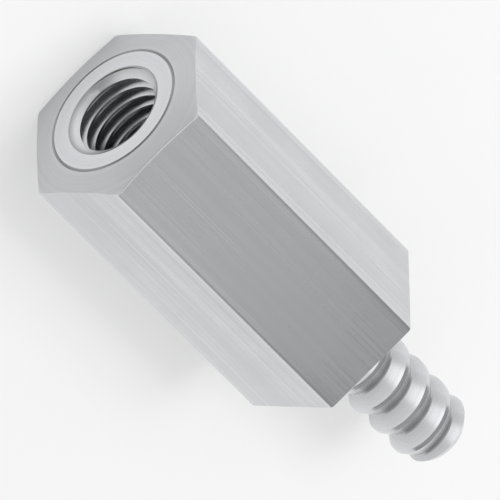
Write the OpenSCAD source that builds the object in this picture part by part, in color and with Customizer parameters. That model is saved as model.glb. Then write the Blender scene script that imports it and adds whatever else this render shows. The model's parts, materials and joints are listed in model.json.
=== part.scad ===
// Hex standoff with a tapped hole in one end and a threaded stud on the other.
// It is one turned piece of hexagon bar, and it lies on one of its flats along the X axis.
// The origin is on that axis, in the shoulder that the stud stands on.

/* [Hexagon bar] */
// Width across two opposite flats
across_flats = 6.35; // [5:0.05:9.5]
// Length of the hexagon, from the seating face to the shoulder
body_len = 12.7; // [9.5:0.1:50]

/* [Seating end] */
// Diameter of the flat face inside the turned chamfer
seat_d = 4.8; // [3.8:0.05:6.8]
// Slope of the turned chamfer, in degrees from the face
chamfer_slope = 12; // [4:1:35]

/* [Tapped hole] */
// Outer diameter of the hole's thread
hole_thread_d = 3.5; // [3.1:0.05:4.4]
// Diameter of the tap drill
tap_drill_d = 2.9; // [1.6:0.05:3.3]
// Depth of the drilled hole at its full diameter
hole_depth = 8; // [3:0.1:10]
// Angle of the drill's point
drill_point_angle = 118; // [90:1:140]
// Angle of the countersink at the mouth
countersink_angle = 120; // [60:1:140]

/* [Stud] */
// Diameter of the plain neck, which the thread's crests stay just under
stud_d = 2.76; // [2.4:0.02:4.6]
// Length of the stud, from the shoulder to its tip
stud_len = 6.35; // [3:0.05:25]
// Length of the plain neck, from the shoulder to the start of the thread
neck_len = 0.62; // [0.3:0.02:1.5]
// Diameter of the flat on the tip, just under the root of the thread
tip_d = 2.1; // [1:0.05:2.3]
// Angle between the tip's chamfer and the axis
tip_angle = 38; // [20:1:60]

/* [Stud's thread] */
// Distance from one turn of the thread to the next
stud_pitch = 1.2; // [0.6:0.05:1.5]
// Angle between the two flanks of the groove
groove_angle = 120; // [90:1:140]
// Width of the flat on the crest
crest_w = 0.16; // [0.1:0.01:0.3]
// Width of the flat at the root
root_w = 0.12; // [0.04:0.01:0.2]
// Length over which the groove comes down from the neck to its full depth
run_out_len = 0.74; // [0.2:0.02:2]
// Angle round the axis at which the groove leaves the neck, counted from the bottom
groove_start = 76; // [0:1:359]

/* [Hidden] */
$fn = 96;

// How far the countersink opens beyond the thread
mouth_clearance = 0.03;
// How far a turned envelope stands clear of what it cuts
blank_margin = 1;
// How far the hole's cutter starts outside the face, and the stud's neck reaches into the bar
overshoot = 0.5;
// How far the thread's crests lie under the neck, and the end of its run-out under its root
thread_relief = 0.02;
// The most steps that make one turn of the thread, along it and round it
finest_turn = 24;
// The most facets that the whole thread may have, which a long thread meets with fewer steps
thread_facets = 12000;

across_corners = across_flats / cos(30);
blank_r = across_corners / 2 + blank_margin;
chamfer_len = (blank_r - seat_d / 2) * tan(chamfer_slope);

tap_drill_r = tap_drill_d / 2;
mouth_r = hole_thread_d / 2 + mouth_clearance;
cutter_r = mouth_r + overshoot * tan(countersink_angle / 2);
countersink_len = (mouth_r - tap_drill_r) / tan(countersink_angle / 2);
drill_point_len = tap_drill_r / tan(drill_point_angle / 2);

stud_r = stud_d / 2;
tip_r = tip_d / 2;
stud_blank_r = stud_r + blank_margin;
tip_cut_len = (stud_blank_r - tip_r) / tan(tip_angle);

crest_r = stud_r - thread_relief;
root_r = crest_r - (stud_pitch - crest_w - root_w) / 2 / tan(groove_angle / 2);
thread_turns = (stud_len - neck_len) / stud_pitch;
turn_steps = min(finest_turn, floor(sqrt(thread_facets / 2 / thread_turns)));
thread_steps = ceil(turn_steps * thread_turns) + 1;

// Turns a profile of [radius, place along the axis] round the X axis
module turned(profile) {
    rotate([0, 90, 0])
        rotate_extrude()
            polygon(profile);
}

// The bar, with one flat up and one down
module hexagon_bar() {
    rotate([0, -90, 0])
        rotate([0, 0, 30])
            cylinder(h = body_len, d = across_corners, $fn = 6);
}

// The round blank that the seating end is turned to, which runs the corners off
module turned_blank() {
    turned([
        [0, -body_len],
        [seat_d / 2, -body_len],
        [blank_r, chamfer_len - body_len],
        [blank_r, 0],
        [0, 0]
    ]);
}

// The tap drill's hole with its countersink and its pointed floor
module tapped_hole() {
    translate([-body_len, 0, 0])
        turned([
            [0, -overshoot],
            [cutter_r, -overshoot],
            [tap_drill_r, countersink_len],
            [tap_drill_r, hole_depth],
            [0, hole_depth + drill_point_len]
        ]);
}

// The plain neck, with the cone under the thread that brings its groove out
module neck() {
    turned([
        [0, -overshoot],
        [stud_r, -overshoot],
        [stud_r, neck_len],
        [root_r - thread_relief, neck_len + run_out_len],
        [0, neck_len + run_out_len]
    ]);
}

// The thread's radius at an angle from the middle of its groove. Once round the section is one
// pitch along the thread.
function thread_radius(angle) =
    let (from_middle = stud_pitch * min(angle, 360 - angle) / 360)
    min(crest_r, max(root_r, root_r + (from_middle - root_w / 2) / tan(groove_angle / 2)));

// The thread from the neck to just past the tip: its section, twisted to the right
module threaded_rod() {
    rotate([0, 90, 0])
        translate([0, 0, neck_len])
            rotate([0, 0, groove_start])
                linear_extrude(
                    height = stud_pitch * thread_steps / turn_steps,
                    twist = -360 * thread_steps / turn_steps,
                    slices = thread_steps,
                    segments = turn_steps
                )
                    polygon([
                        for (step = [0:turn_steps - 1])
                            let (angle = 360 * step / turn_steps)
                            thread_radius(angle) * [cos(angle), sin(angle)]
                    ]);
}

// The round envelope that the stud's tip is chamfered to
module stud_blank() {
    turned([
        [0, -blank_margin],
        [stud_blank_r, -blank_margin],
        [stud_blank_r, stud_len - tip_cut_len],
        [tip_r, stud_len],
        [0, stud_len]
    ]);
}

// The stud, with its neck, its thread and its chamfered tip
module stud() {
    intersection() {
        union() {
            neck();
            threaded_rod();
        }
        stud_blank();
    }
}

module standoff() {
    color([0.80, 0.81, 0.83]) {
        difference() {
            intersection() {
                hexagon_bar();
                turned_blank();
            }
            tapped_hole();
        }
        stud();
    }
}

standoff();
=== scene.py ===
"""Dresses the hex standoff: one piece of bright metal bar, turned, tapped and threaded."""

import json
import math

import bmesh
import bpy
from mathutils import Matrix, Vector


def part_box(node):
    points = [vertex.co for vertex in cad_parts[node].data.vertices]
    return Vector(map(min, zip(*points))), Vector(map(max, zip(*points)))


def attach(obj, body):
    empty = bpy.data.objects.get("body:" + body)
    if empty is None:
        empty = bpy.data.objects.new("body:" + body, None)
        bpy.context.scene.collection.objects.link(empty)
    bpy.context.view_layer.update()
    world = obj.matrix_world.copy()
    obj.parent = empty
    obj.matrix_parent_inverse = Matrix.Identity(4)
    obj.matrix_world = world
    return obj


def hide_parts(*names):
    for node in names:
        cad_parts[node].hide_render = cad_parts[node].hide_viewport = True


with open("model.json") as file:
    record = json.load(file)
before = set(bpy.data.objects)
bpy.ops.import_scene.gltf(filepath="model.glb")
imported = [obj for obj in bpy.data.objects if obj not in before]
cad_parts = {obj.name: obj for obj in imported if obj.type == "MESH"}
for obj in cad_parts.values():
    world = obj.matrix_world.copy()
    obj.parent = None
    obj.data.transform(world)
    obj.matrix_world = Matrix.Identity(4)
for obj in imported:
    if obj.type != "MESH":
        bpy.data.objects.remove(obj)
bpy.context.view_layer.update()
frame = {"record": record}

MM = 0.001
LOW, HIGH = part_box("standoff")
MOUNTS = {mount["name"]: mount for mount in frame["record"]["mounts"]}

# The bar, from the shoulder at the origin back to the seating face
BODY_LENGTH = -LOW.x
ACROSS_FLATS = HIGH.z - LOW.z
ACROSS_CORNERS = ACROSS_FLATS / math.cos(math.radians(30))
CORNER_ROUNDING = 0.16 * MM
EDGE_ROUNDING = 0.04 * MM

# The seating end, with the fine line that the tool leaves where its chamfer starts
SEAT_RADIUS = 2.4 * MM
CHAMFER_SLOPE = math.radians(12)
LINE_WIDTH = 0.10 * MM
LINE_DEPTH = 0.05 * MM
LINE_ROUNDING = 0.02 * MM
LINE_INNER = SEAT_RADIUS - LINE_WIDTH / 2
LINE_OUTER = SEAT_RADIUS + LINE_WIDTH / 2

# The drilled and countersunk hole
DRILL_RADIUS = MOUNTS["tapped_hole"]["dims"]["r_mm"] * MM
DRILL_DEPTH = 8 * MM
DRILL_POINT = math.radians(118)
MOUTH_RADIUS = 1.78 * MM
COUNTERSINK = math.radians(120)
MOUTH_ROUNDING = 0.08 * MM

# The hole's thread, whose tap starts ahead of the face and tapers off at the bottom
HOLE_THREAD_RADIUS = 1.75 * MM
HOLE_PITCH = 0.485 * MM
HOLE_GROOVE_WIDTH = 0.38 * MM
HOLE_ROOT_WIDTH = 0.08 * MM
HOLE_CREST_ROUNDING = 0.02 * MM
HOLE_ROOT_ROUNDING = 0.03 * MM
HOLE_THREAD_DEPTH = 6.8 * MM
HOLE_TAPER = 2 * HOLE_PITCH
HOLE_THREAD_LEAD = 0.9 * MM
HOLE_THREAD_START = math.radians(-124)
TAP_BACK_WIDTH = 0.96 * HOLE_PITCH
TAP_CLEARANCE = 0.1 * MM

# The stud, whose crests stay just under its neck
STUD_LENGTH = HIGH.x
STUD_RADIUS = MOUNTS["stud"]["dims"]["r_mm"] * MM - 0.02 * MM
NECK_LENGTH = MOUNTS["stud"]["dims"]["length_mm"] * MM
NECK_FILLET = 0.12 * MM
TIP_RADIUS = 1.05 * MM
TIP_ANGLE = math.radians(38)
TIP_SHOULDER_ROUNDING = 0.08 * MM
TIP_EDGE_ROUNDING = 0.05 * MM

# The stud's thread, whose groove runs out towards the neck
STUD_ROOT_RADIUS = 1.10 * MM
STUD_PITCH = 1.2 * MM
STUD_GROOVE_WIDTH = 1.04 * MM
STUD_ROOT_WIDTH = 0.10 * MM
STUD_CREST_ROUNDING = 0.03 * MM
STUD_ROOT_ROUNDING = 0.04 * MM
STUD_RUN_OUT = 0.74 * MM
STUD_THREAD_START = math.radians(76 - 180)
DIE_BACK_WIDTH = 0.97 * STUD_PITCH
DIE_CLEARANCE = 0.03 * MM

# How finely the shapes are divided
ROUND_SIDES = 192
THREAD_SIDES = 144
ARC_STEPS = 6
THREAD_ARC_STEPS = 3
EDGE_STEPS = 4
SMOOTH_ANGLE = math.radians(11)

# How far the cutters reach past the work, and stay off its surface where they don't cut
OVERSHOOT = 0.5 * MM
CREST_CLEARANCE = 0.004 * MM
# How close two points are to be one, and how far back a face of the seating end looks at least
SAME_PLACE = 3e-8
FACES_BACK = -0.3
X_AXIS = (1, 0, 0)


def only(piece):
    """Makes this the one selected and active object."""
    bpy.ops.object.select_all(action="DESELECT")
    piece.select_set(True)
    bpy.context.view_layer.objects.active = piece


def apply_modifier(piece, kind, **settings):
    """Adds a modifier, sets it up and applies it."""
    only(piece)
    modifier = piece.modifiers.new(kind.title(), kind)
    for name, value in settings.items():
        setattr(modifier, name, value)
    bpy.ops.object.modifier_apply(modifier=modifier.name)


def machine(piece, tool, operation):
    """Shapes a piece with a tool, cleans the new edges and puts the tool away."""
    apply_modifier(
        piece,
        "BOOLEAN",
        object=tool,
        operation=operation,
        solver="EXACT",
        material_mode="TRANSFER",
    )
    bpy.data.objects.remove(tool)
    bpy.ops.object.mode_set(mode="EDIT")
    bpy.ops.mesh.select_all(action="SELECT")
    bpy.ops.mesh.remove_doubles(threshold=SAME_PLACE)
    bpy.ops.mesh.dissolve_degenerate(threshold=SAME_PLACE)
    bpy.ops.object.mode_set(mode="OBJECT")


def softened(corners, steps):
    """Lays an arc on each corner of an outline of (place, radius, rounding)."""
    outline = []
    for index, (place, radius, rounding) in enumerate(corners):
        corner = Vector((place, radius))
        if rounding == 0:
            outline.append(corner)
            continue
        before = (Vector(corners[index - 1][:2]) - corner).normalized()
        after = (Vector(corners[index + 1][:2]) - corner).normalized()
        half_angle = before.angle(after) / 2
        centre = corner + (before + after).normalized() * rounding / math.sin(half_angle)
        start = corner + before * rounding / math.tan(half_angle) - centre
        end = corner + after * rounding / math.tan(half_angle) - centre
        turn = start.angle_signed(end)
        for step in range(steps + 1):
            outline.append(centre + Matrix.Rotation(-turn * step / steps, 2) @ start)
    return outline


def drawn_outline(name, outline):
    """Draws an outline of (place, radius) in the XZ plane by pulling one vertex along."""
    at = Vector((outline[0][0], 0, outline[0][1]))
    bpy.ops.object.select_all(action="DESELECT")
    bpy.ops.mesh.primitive_plane_add(size=MM, location=at)
    piece = bpy.context.object
    piece.name = name
    bpy.ops.object.transform_apply(location=True, rotation=True, scale=True)
    bpy.ops.object.mode_set(mode="EDIT")
    bpy.ops.mesh.select_all(action="SELECT")
    bpy.ops.mesh.merge(type="CENTER")
    for place, radius in outline[1:]:
        target = Vector((place, 0, radius))
        bpy.ops.mesh.extrude_region_move(TRANSFORM_OT_translate={"value": target - at})
        at = target
    bpy.ops.mesh.select_all(action="SELECT")
    return piece


def turned(name, corners, material):
    """Spins an outline that starts and ends on the X axis into a turned solid."""
    piece = drawn_outline(name, softened(corners, ARC_STEPS))
    bpy.ops.mesh.spin(steps=ROUND_SIDES, angle=math.tau, center=(0, 0, 0), axis=X_AXIS)
    bpy.ops.mesh.select_all(action="SELECT")
    bpy.ops.mesh.remove_doubles(threshold=SAME_PLACE)
    bpy.ops.mesh.normals_make_consistent(inside=False)
    bpy.ops.object.mode_set(mode="OBJECT")
    piece.data.materials.append(material)
    return piece


def cutter_outline(widths, back, crest, root, roundings):
    """Gives a thread cutter's outline: one tooth, on a back that lies clear of the work.

    widths are those of the back, the groove and its root. back, crest and root are radii,
    and roundings are those of the crest and the root.
    """
    half_back, half_groove, half_root = [width / 2 for width in widths]
    crest_rounding, root_rounding = roundings
    return [
        (-half_back, back, 0),
        (-half_back, crest, 0),
        (-half_groove, crest, crest_rounding),
        (-half_root, root, root_rounding),
        (half_root, root, root_rounding),
        (half_groove, crest, crest_rounding),
        (half_back, crest, 0),
        (half_back, back, 0),
    ]


def thread_cutter(name, corners, pitch, start, angle, length, material):
    """Winds a closed outline round the X axis into the right-hand cutter of a thread.

    It starts with its middle at start along the axis and at this angle from the top, and
    has the whole turns that cover this length.
    """
    outline = softened(corners, THREAD_ARC_STEPS)
    tool = drawn_outline(name, [(place + start, radius) for place, radius in outline])
    bpy.ops.mesh.edge_face_add()
    bpy.ops.mesh.delete(type="ONLY_FACE")
    bpy.ops.object.mode_set(mode="OBJECT")
    tool.data.transform(Matrix.Rotation(angle, 4, "X"))
    apply_modifier(
        tool,
        "SCREW",
        axis="X",
        screw_offset=pitch,
        iterations=math.ceil(length / pitch),
        steps=THREAD_SIDES,
        render_steps=THREAD_SIDES,
        use_merge_vertices=False,
    )
    bpy.ops.object.mode_set(mode="EDIT")
    bpy.ops.mesh.select_all(action="SELECT")
    bpy.ops.mesh.fill_holes(sides=0)
    bpy.ops.mesh.select_all(action="SELECT")
    bpy.ops.mesh.normals_make_consistent(inside=False)
    bpy.ops.object.mode_set(mode="OBJECT")
    tool.data.materials.append(material)
    return tool


def fade(tool, full, gone, shift):
    """Lifts a thread cutter clear between two places, so that its groove runs out."""
    for vertex in tool.data.vertices:
        share = min(max((vertex.co.x - full) / (gone - full), 0), 1)
        radius = math.hypot(vertex.co.y, vertex.co.z)
        scale = 1 + share * shift / radius
        vertex.co.y *= scale
        vertex.co.z *= scale


def hexagon_bar(material):
    """Draws a length of hexagon bar with its long corners rounded."""
    bpy.ops.object.select_all(action="DESELECT")
    bpy.ops.mesh.primitive_circle_add(
        vertices=6,
        radius=ACROSS_CORNERS / 2,
        fill_type="NGON",
        location=(-BODY_LENGTH - OVERSHOOT, 0, 0),
        rotation=(0, math.radians(90), 0),
    )
    bar = bpy.context.object
    bar.name = "hexagon_bar"
    bpy.ops.object.transform_apply(location=True, rotation=True, scale=True)
    bpy.ops.object.mode_set(mode="EDIT")
    bpy.ops.mesh.select_all(action="SELECT")
    bpy.ops.mesh.bevel(
        affect="VERTICES",
        offset=CORNER_ROUNDING * math.tan(math.radians(30)),
        segments=ARC_STEPS,
    )
    bpy.ops.mesh.select_all(action="SELECT")
    bpy.ops.mesh.extrude_region_move(
        TRANSFORM_OT_translate={"value": (BODY_LENGTH + STUD_LENGTH + 2 * OVERSHOOT, 0, 0)}
    )
    bpy.ops.mesh.select_all(action="SELECT")
    bpy.ops.mesh.normals_make_consistent(inside=False)
    bpy.ops.object.mode_set(mode="OBJECT")
    bar.data.materials.append(material)
    return bar


def lathe_work(material):
    """Turns the envelope of all the lathe's cuts: hole, seat, chamfer, shoulder and stud."""
    outer = ACROSS_CORNERS / 2 + OVERSHOOT
    chamfer_length = (outer - SEAT_RADIUS) * math.tan(CHAMFER_SLOPE)
    line_edge = LINE_WIDTH / 2 * math.tan(CHAMFER_SLOPE)
    countersink_depth = (MOUTH_RADIUS - DRILL_RADIUS) / math.tan(COUNTERSINK / 2)
    drill_point_length = DRILL_RADIUS / math.tan(DRILL_POINT / 2)
    tip_length = (STUD_RADIUS - TIP_RADIUS) / math.tan(TIP_ANGLE)
    return turned(
        "lathe_work",
        [
            (-BODY_LENGTH + DRILL_DEPTH + drill_point_length, 0, 0),
            (-BODY_LENGTH + DRILL_DEPTH, DRILL_RADIUS, 0),
            (-BODY_LENGTH + countersink_depth, DRILL_RADIUS, 0),
            (-BODY_LENGTH, MOUTH_RADIUS, MOUTH_ROUNDING),
            (-BODY_LENGTH, LINE_INNER, 0),
            (-BODY_LENGTH + LINE_DEPTH, SEAT_RADIUS, LINE_ROUNDING),
            (-BODY_LENGTH + line_edge, LINE_OUTER, 0),
            (-BODY_LENGTH + chamfer_length, outer, 0),
            (0, outer, 0),
            (0, STUD_RADIUS, NECK_FILLET),
            (STUD_LENGTH - tip_length, STUD_RADIUS, TIP_SHOULDER_ROUNDING),
            (STUD_LENGTH, TIP_RADIUS, TIP_EDGE_ROUNDING),
            (STUD_LENGTH, 0, 0),
        ],
        material,
    )


def tap(material):
    """Winds the cutter of the hole's thread, with its taper at the bottom of the hole."""
    outline = cutter_outline(
        widths=(TAP_BACK_WIDTH, HOLE_GROOVE_WIDTH, HOLE_ROOT_WIDTH),
        back=DRILL_RADIUS - OVERSHOOT / 2,
        crest=DRILL_RADIUS - CREST_CLEARANCE,
        root=HOLE_THREAD_RADIUS,
        roundings=(HOLE_CREST_ROUNDING, HOLE_ROOT_ROUNDING),
    )
    tool = thread_cutter(
        "tap",
        outline,
        HOLE_PITCH,
        start=-BODY_LENGTH - HOLE_THREAD_LEAD,
        angle=HOLE_THREAD_START,
        length=HOLE_THREAD_DEPTH + HOLE_THREAD_LEAD,
        material=material,
    )
    bottom = -BODY_LENGTH + HOLE_THREAD_DEPTH
    fade(tool, bottom - HOLE_TAPER, bottom, DRILL_RADIUS - HOLE_THREAD_RADIUS - TAP_CLEARANCE)
    return tool


def die(material):
    """Winds the cutter of the stud's thread, which runs out before the shoulder."""
    outline = cutter_outline(
        widths=(DIE_BACK_WIDTH, STUD_GROOVE_WIDTH, STUD_ROOT_WIDTH),
        back=STUD_RADIUS + OVERSHOOT,
        crest=STUD_RADIUS + CREST_CLEARANCE,
        root=STUD_ROOT_RADIUS,
        roundings=(STUD_CREST_ROUNDING, STUD_ROOT_ROUNDING),
    )
    tool = thread_cutter(
        "die",
        outline,
        STUD_PITCH,
        start=NECK_LENGTH,
        angle=STUD_THREAD_START,
        length=STUD_LENGTH + STUD_PITCH,
        material=material,
    )
    full = NECK_LENGTH + STUD_RUN_OUT
    fade(tool, full, NECK_LENGTH, STUD_RADIUS - STUD_ROOT_RADIUS + DIE_CLEARANCE)
    return tool


def break_edges(piece):
    """Rounds the edges where the lathe's cuts meet the flats of the bar."""
    only(piece)
    bpy.ops.object.mode_set(mode="EDIT")
    bpy.ops.mesh.select_mode(type="EDGE")
    bpy.ops.mesh.select_all(action="DESELECT")
    mesh = bmesh.from_edit_mesh(piece.data)
    for edge in mesh.edges:
        edge.select = len({face.material_index for face in edge.link_faces}) > 1
    bmesh.update_edit_mesh(piece.data)
    bpy.ops.mesh.bevel(offset=EDGE_ROUNDING, segments=EDGE_STEPS, clamp_overlap=False)
    bpy.ops.mesh.select_mode(type="VERT")
    bpy.ops.object.mode_set(mode="OBJECT")


def finish_cut(piece, material, inner, outer):
    """Gives the seating end's turned faces between two radii a material of their own, whose
    colour is painted darker in places.
    """
    turned_slot = piece.data.materials.find("faced_seat")
    piece.data.materials.append(material)
    for face in piece.data.polygons:
        was_turned = face.material_index == turned_slot
        radius = math.hypot(face.center.y, face.center.z)
        if was_turned and face.normal.x < FACES_BACK and inner < radius < outer:
            face.material_index = len(piece.data.materials) - 1


def smooth(piece):
    """Points the faces outwards and shades the round ones smooth, up to their edges."""
    only(piece)
    bpy.ops.object.mode_set(mode="EDIT")
    bpy.ops.mesh.select_all(action="SELECT")
    bpy.ops.mesh.normals_make_consistent(inside=False)
    bpy.ops.object.mode_set(mode="OBJECT")
    bpy.ops.object.shade_smooth_by_angle(angle=SMOOTH_ANGLE)
    apply_modifier(piece, "WEIGHTED_NORMAL", keep_sharp=True)


def add_node(tree, kind, inputs=None, **settings):
    """Adds a shader node; each input is a number, a vector or another node's output."""
    node = tree.nodes.new("ShaderNode" + kind)
    for name, value in settings.items():
        setattr(node, name, value)
    for key, value in (inputs or {}).items():
        if isinstance(value, bpy.types.NodeSocket):
            tree.links.new(value, node.inputs[key])
        else:
            node.inputs[key].default_value = value
    return node


def calculate(tree, operation, *values):
    """Adds a Math node and gives its result."""
    node = add_node(tree, "Math", dict(enumerate(values)), operation=operation)
    return node.outputs[0]


def spread(tree, value, before, after, way="LINEAR"):
    """Maps a value from one range to another, without going outside it."""
    low, high = before
    to_low, to_high = after
    node = add_node(
        tree,
        "MapRange",
        {"Value": value, "From Min": low, "From Max": high, "To Min": to_low, "To Max": to_high},
        interpolation_type=way,
    )
    return node.outputs["Result"]


def noise(tree, vector, scale, detail, roughness):
    """Adds a noise texture and gives its value."""
    node = add_node(
        tree,
        "TexNoise",
        {"Vector": vector, "Scale": scale, "Detail": detail, "Roughness": roughness},
    )
    return node.outputs["Fac"]


# What all the finishes share: the metal's colour, its broad streaks and its patches of shine
METAL = (0.70, 0.71, 0.73)
STREAK_COARSENESS = 5
STREAK_TONES = (0.95, 1.02)
PATCH_FINENESS = 380
PATCH_SHINE = (-0.03, 0.03)
# The part of a noise's range that its values fill
NOISE_REACH = (0.3, 0.7)
PATCH_REACH = (0.35, 0.65)
QUARTER_TURN = 0.25
# How slowly the marks on the drawn bar change along it, beside how they change across it
DRAWN_SLOWNESS = 0.006


def bright_metal(name, lay, fineness, shine, depth, streak, round_axis, painted_darker, proud):
    """Makes a bright metal whose tool marks follow the lay that a function gives.

    fineness is the scale of the marks, depth their height, and shine the least and the most
    roughness that they give. streak is how far the highlight spreads across them, and
    round_axis says whether they run round the axis. The argument after round_axis is
    (radius, tone there): the colour is painted that much darker at that radius and back to
    full at proud's radius, which gives painted shade in the grooves and on the chamfer and a
    painted highlight on the chamfer's corners. proud is (radius, how much smoother the metal
    is worn there).
    """
    material = bpy.data.materials.new(name)
    material.use_nodes = True
    tree = material.node_tree
    shader = tree.nodes["Principled BSDF"]
    place = add_node(tree, "TexCoord").outputs["Object"]
    x, y, z = add_node(tree, "SeparateXYZ", {"Vector": place}).outputs
    y_squared = calculate(tree, "MULTIPLY", y, y)
    z_squared = calculate(tree, "MULTIPLY", z, z)
    radius = calculate(tree, "SQRT", calculate(tree, "ADD", y_squared, z_squared))
    marks = lay(tree, x, y, z, radius)
    fine = noise(tree, marks, fineness, detail=3.0, roughness=0.6)
    broad = noise(tree, marks, fineness / STREAK_COARSENESS, detail=2.0, roughness=0.5)
    patches = noise(tree, place, PATCH_FINENESS, detail=3.0, roughness=0.6)
    darker_radius, darker_tone = painted_darker
    proud_radius, polish = proud
    # One mask from the first radius to the proud one: how far the colour is painted darker, and
    # where the metal is worn smoother
    darkening_and_wear = spread(tree, radius, (darker_radius, proud_radius), (0, 1))

    streaks = spread(tree, broad, NOISE_REACH, STREAK_TONES)
    # Painted shade: the colour is painted darker near the first radius and back to full at the
    # proud one
    tone = calculate(tree, "MULTIPLY", streaks, spread(tree, darkening_and_wear, (0, 1), (darker_tone, 1)))
    colour = add_node(tree, "VectorMath", {0: METAL, "Scale": tone}, operation="SCALE")
    tree.links.new(colour.outputs["Vector"], shader.inputs["Base Color"])

    marked = spread(tree, fine, NOISE_REACH, shine)
    patched = calculate(tree, "ADD", marked, spread(tree, patches, PATCH_REACH, PATCH_SHINE))
    roughness = calculate(tree, "ADD", patched, spread(tree, darkening_and_wear, (0, 1), (0, -polish)))
    tree.links.new(roughness, shader.inputs["Roughness"])

    bump = add_node(tree, "Bump", {"Height": fine, "Strength": 1.0, "Distance": depth})
    tree.links.new(bump.outputs["Normal"], shader.inputs["Normal"])
    around = add_node(tree, "VectorMath", {0: X_AXIS, 1: place}, operation="CROSS_PRODUCT")
    tree.links.new(around.outputs["Vector"], shader.inputs["Tangent"])
    shader.inputs["Metallic"].default_value = 1.0
    shader.inputs["Anisotropic"].default_value = streak
    shader.inputs["Anisotropic Rotation"].default_value = QUARTER_TURN if round_axis else 0
    return material


def drawn_lay(tree, x, y, z, radius):
    """Runs the marks down the bar, as the drawing die leaves them."""
    slow = calculate(tree, "MULTIPLY", x, DRAWN_SLOWNESS)
    return add_node(tree, "CombineXYZ", {0: slow, 1: y, 2: z}).outputs[0]


def turned_lay(tree, x, y, z, radius):
    """Runs the marks round the axis, as the lathe's tool leaves them."""
    return add_node(tree, "CombineXYZ", {0: x, 1: radius, 2: 0.0}).outputs[0]


def helical_lay(pitch):
    """Gives the lay of marks that run along a thread of this pitch."""

    def lay(tree, x, y, z, radius):
        along = calculate(tree, "MULTIPLY", x, math.tau / pitch)
        phase = calculate(tree, "SUBTRACT", along, calculate(tree, "ARCTAN2", z, y))
        size = pitch / math.tau
        across = calculate(tree, "MULTIPLY", calculate(tree, "COSINE", phase), size)
        down = calculate(tree, "MULTIPLY", calculate(tree, "SINE", phase), size)
        return add_node(tree, "CombineXYZ", {0: across, 1: down, 2: radius}).outputs[0]

    return lay


drawn_metal = bright_metal(
    "drawn_bar",
    drawn_lay,
    fineness=11000,
    shine=(0.24, 0.42),
    depth=0.0014 * MM,
    streak=0.6,
    round_axis=False,
    painted_darker=(3.52 * MM, 1.0),
    proud=(3.64 * MM, 0.10),
)
seat_metal = bright_metal(
    "faced_seat",
    turned_lay,
    fineness=13000,
    shine=(0.12, 0.30),
    depth=0.0012 * MM,
    streak=0.4,
    round_axis=True,
    painted_darker=(0, 1.0),
    proud=(1 * MM, 0),
)
# The countersink's colour is painted darker towards its rim, which outlines the mouth
mouth_metal = bright_metal(
    "countersunk_mouth",
    turned_lay,
    fineness=9000,
    shine=(0.26, 0.42),
    depth=0.0014 * MM,
    streak=0.5,
    round_axis=True,
    painted_darker=(MOUTH_RADIUS, 0.52),
    proud=(1.6 * MM, 0.05),
)
# The fine turned line is painted at half the metal's brightness: painted shade in its groove
line_metal = bright_metal(
    "turned_line",
    turned_lay,
    fineness=9000,
    shine=(0.30, 0.42),
    depth=0.0010 * MM,
    streak=0.4,
    round_axis=True,
    painted_darker=(SEAT_RADIUS + LINE_WIDTH, 0.5),
    proud=(3 * SEAT_RADIUS, 0),
)
# The chamfer is painted darker as painted shade, lightening to full at its corners as a painted
# highlight
chamfer_metal = bright_metal(
    "turned_chamfer",
    turned_lay,
    fineness=9000,
    shine=(0.36, 0.54),
    depth=0.0014 * MM,
    streak=0.7,
    round_axis=True,
    painted_darker=(3.5 * MM, 0.88),
    proud=(3.64 * MM, 0.05),
)
# The hole's thread is painted darker towards its roots: painted shade
tapped_metal = bright_metal(
    "tapped_thread",
    helical_lay(HOLE_PITCH),
    fineness=9000,
    shine=(0.22, 0.36),
    depth=0.0010 * MM,
    streak=0.4,
    round_axis=True,
    painted_darker=(HOLE_THREAD_RADIUS, 0.72),
    proud=(DRILL_RADIUS, 0.08),
)
# The stud's thread is painted darker towards its roots: painted shade
died_metal = bright_metal(
    "cut_thread",
    helical_lay(STUD_PITCH),
    fineness=9000,
    shine=(0.22, 0.36),
    depth=0.0010 * MM,
    streak=0.4,
    round_axis=True,
    painted_darker=(STUD_ROOT_RADIUS, 0.80),
    proud=(STUD_RADIUS, 0.08),
)

standoff = hexagon_bar(drawn_metal)
machine(standoff, lathe_work(seat_metal), "INTERSECT")
break_edges(standoff)
machine(standoff, tap(tapped_metal), "DIFFERENCE")
machine(standoff, die(died_metal), "DIFFERENCE")
standoff.name = "threaded_hexagon"
finish_cut(standoff, mouth_metal, 0, MOUTH_RADIUS)
finish_cut(standoff, line_metal, LINE_INNER, LINE_OUTER)
finish_cut(standoff, chamfer_metal, LINE_OUTER, ACROSS_CORNERS)
smooth(standoff)

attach(standoff, "root")
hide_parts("standoff")

# The floor, and how much of what the camera or the metal sees of it is plain white
FLOOR_SIZE = 1.6
FLOOR_COLOUR = (0.9, 0.9, 0.9, 1)
FLOOR_WHITENESS = 0.4
WHITE = (1, 1, 1, 1)


def pale_floor():
    """Makes the floor's material, which keeps the part's shadow."""
    material = bpy.data.materials.new("pale_floor")
    material.use_nodes = True
    tree = material.node_tree
    tree.nodes.clear()
    rays = add_node(tree, "LightPath").outputs
    seen = calculate(tree, "MAXIMUM", rays["Is Camera Ray"], rays["Is Glossy Ray"])
    seen = calculate(tree, "MAXIMUM", seen, rays["Is Transmission Ray"])
    lit = add_node(tree, "BsdfDiffuse", {"Color": FLOOR_COLOUR}).outputs[0]
    white = add_node(tree, "Emission", {"Color": WHITE, "Strength": 1.0}).outputs[0]
    whiteness = calculate(tree, "MULTIPLY", seen, FLOOR_WHITENESS)
    surface = add_node(tree, "MixShader", {0: whiteness, 1: lit, 2: white}).outputs[0]
    add_node(tree, "OutputMaterial", {"Surface": surface})
    return material


bpy.ops.object.select_all(action="DESELECT")
bpy.ops.mesh.primitive_plane_add(size=FLOOR_SIZE, location=(0, 0, LOW.z))
floor = bpy.context.object
floor.name = "floor"
bpy.ops.object.transform_apply(location=True, rotation=True, scale=True)
floor.data.materials.append(pale_floor())

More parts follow.
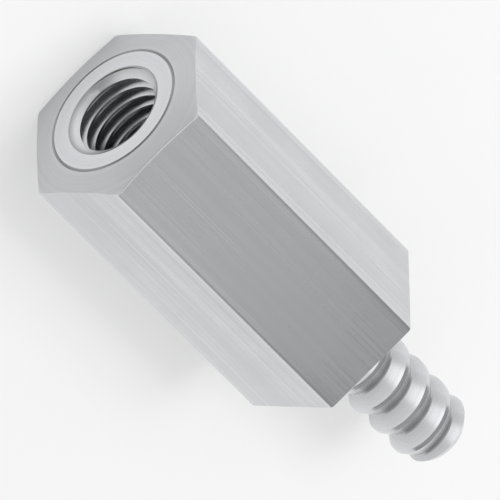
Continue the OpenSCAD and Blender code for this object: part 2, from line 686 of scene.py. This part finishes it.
# The sky: a light strip overhead across the bar, a soft window in it and a white horizon.
# Each has its edges, where its light starts and stops to change on a sky of radius 1.
STRIP_OFFSET = 0.1
STRIP_EDGES = (0.35, 0.70)
STRIP_LIGHT = (0.86, 0.33)
WINDOW_DIRECTION = (-0.25, 0.45, 0.86)
WINDOW_EDGES = (0.82, 0.99)
WINDOW_LIGHT = (0.0, 0.5)
HORIZON_EDGES = (0.0, 0.22)
HORIZON_LIGHT = (1.0, 0.0)


def studio_sky():
    """Makes the world that lights the part and shows in its metal."""
    world = bpy.data.worlds.new("studio")
    world.use_nodes = True
    tree = world.node_tree
    tree.nodes.clear()
    direction = add_node(tree, "TexCoord").outputs["Generated"]
    along, _, height = add_node(tree, "SeparateXYZ", {"Vector": direction}).outputs
    off_strip = calculate(tree, "ABSOLUTE", calculate(tree, "ADD", along, STRIP_OFFSET))
    strip = spread(tree, off_strip, STRIP_EDGES, STRIP_LIGHT, "SMOOTHSTEP")
    towards_window = add_node(
        tree, "VectorMath", {0: direction, 1: WINDOW_DIRECTION}, operation="DOT_PRODUCT"
    ).outputs["Value"]
    window = spread(tree, towards_window, WINDOW_EDGES, WINDOW_LIGHT, "SMOOTHSTEP")
    horizon = spread(tree, height, HORIZON_EDGES, HORIZON_LIGHT, "SMOOTHSTEP")
    light = calculate(tree, "MAXIMUM", calculate(tree, "ADD", strip, window), horizon)
    sky = add_node(tree, "Background", {"Color": WHITE, "Strength": light}).outputs[0]
    add_node(tree, "OutputWorld", {"Surface": sky})
    return world


def soft_lamp(name, direction, distance, size, brightness, glare):
    """Hangs a square soft lamp that faces the middle of the body and looks this bright.

    Without glare the metal doesn't mirror it, as behind a polarising filter.
    """
    aim = Vector((-BODY_LENGTH / 2, 0, 0))
    towards = -Vector(direction).normalized()
    bpy.ops.object.light_add(
        type="AREA",
        location=aim - towards * distance,
        rotation=towards.to_track_quat("-Z", "Y").to_euler(),
    )
    lamp = bpy.context.object
    lamp.name = name
    lamp.data.shape = "SQUARE"
    lamp.data.size = size
    lamp.data.energy = brightness * math.pi * size ** 2
    lamp.visible_glossy = glare


bpy.context.scene.world = studio_sky()
soft_lamp(
    "key_lamp",
    direction=(0.10, 0.50, 0.85),
    distance=0.15,
    size=0.06,
    brightness=6.0,
    glare=False,
)
soft_lamp(
    "fill_lamp",
    direction=(0.39, -0.04, 0.92),
    distance=0.047,
    size=0.025,
    brightness=0.28,
    glare=True,
)

# The camera, looking down along the bar from the hole's end, turned so the bar lies aslant
ELEVATION = math.radians(53.0)
CAMERA_DISTANCE = 0.6424
CAMERA_AIM = Vector((-4.66 * MM, -0.066 * MM, 0))
LENS = 1400
SENSOR_WIDTH = 36


def long_camera():
    """Hangs the camera, with a long lens that hardly narrows the far end."""
    up_along_bar = Vector((math.sin(ELEVATION), 0, math.cos(ELEVATION)))
    across_bar = Vector((0, 1, 0))
    right = (up_along_bar + across_bar).normalized()
    up = (across_bar - up_along_bar).normalized()
    back = Vector((-math.cos(ELEVATION), 0, math.sin(ELEVATION)))
    turn = Matrix((right, up, back)).transposed()
    bpy.ops.object.camera_add(
        location=CAMERA_AIM + back * CAMERA_DISTANCE, rotation=turn.to_euler()
    )
    camera = bpy.context.object
    camera.data.lens = LENS
    camera.data.sensor_width = SENSOR_WIDTH
    return camera


bpy.context.scene.camera = long_camera()
bpy.context.scene.view_settings.view_transform = "Standard"
